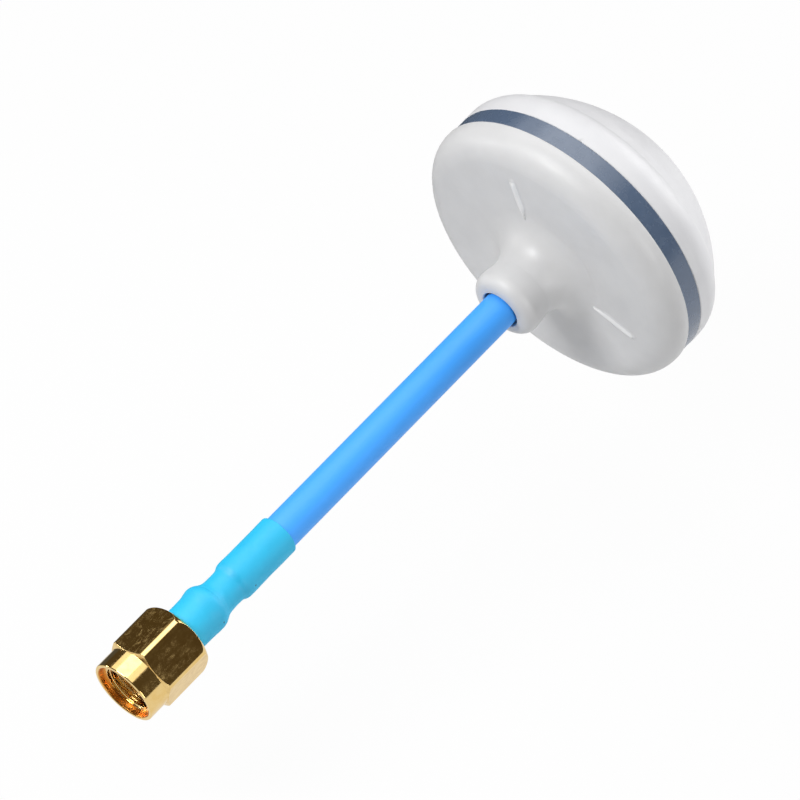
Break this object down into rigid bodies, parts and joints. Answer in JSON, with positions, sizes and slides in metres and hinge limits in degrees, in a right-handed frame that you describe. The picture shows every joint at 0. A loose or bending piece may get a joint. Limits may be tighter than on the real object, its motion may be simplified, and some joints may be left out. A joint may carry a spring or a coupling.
{
  "type": "cloverleaf antenna",
  "caption": "Mushroom-shaped circular-polarised antenna: a wire cloverleaf under a shallow dome, on a stiff coaxial stem with a threaded coupling plug.",
  "frame": {"origin": "on the stem's axis at the plug's mating plane, which is the front face of the plug's nose", "axes": "+Z along the stem from the plug to the dome, the plug opens towards -Z"},
  "size_m": [0.0354, 0.0352, 0.0878],
  "materials": {
    "gold_plate": "gold plated, satin",
    "nut_gold": "gold plated, polished",
    "contact_gold": "gold plated, polished",
    "spring_ring": "spring bronze",
    "gasket_rubber": "matte",
    "ptfe": "waxy white",
    "solder": "bright solder",
    "silvered_wire": "silver plated",
    "tinned_shield": "tinned braid",
    "blue_jacket": "glossy blue",
    "cyan_sleeve": "glossy cyan shrink tube",
    "shell_plastic": "fine matte, light grey",
    "band_plastic": "slate satin",
    "cap_plastic": "fine satin, light grey",
    "adhesive": "hot melt",
    "leaf_wire": "bare copper wire"
  },
  "bodies": {
    "antenna": {"plug_body": "gold_plate", "plug_insulator": "ptfe", "socket_contact": "contact_gold", "retaining_ring": "spring_ring", "gasket": "gasket_rubber", "ferrule_solder": "solder", "centre_conductor": "silvered_wire", "coax_dielectric": "ptfe", "coax_shield": "tinned_shield", "coax_jacket": "blue_jacket", "heat_shrink_sleeve": "cyan_sleeve", "base_shell": "shell_plastic", "accent_band": "band_plastic", "dome_cap": "cap_plastic", "neck_adhesive": "adhesive", "feed_solder": "solder", "shield_solder": "solder", "leaf_1": "leaf_wire", "leaf_2": "leaf_wire", "leaf_3": "leaf_wire"},
    "nut": {"coupling_nut": "nut_gold"}
  },
  "joints": [
    {"name": "nut_spin", "type": "hinge", "parent": "antenna", "child": "nut", "pos_m": [0, 0, 0], "axis": [0, 0, 1], "continuous": true}
  ]
}
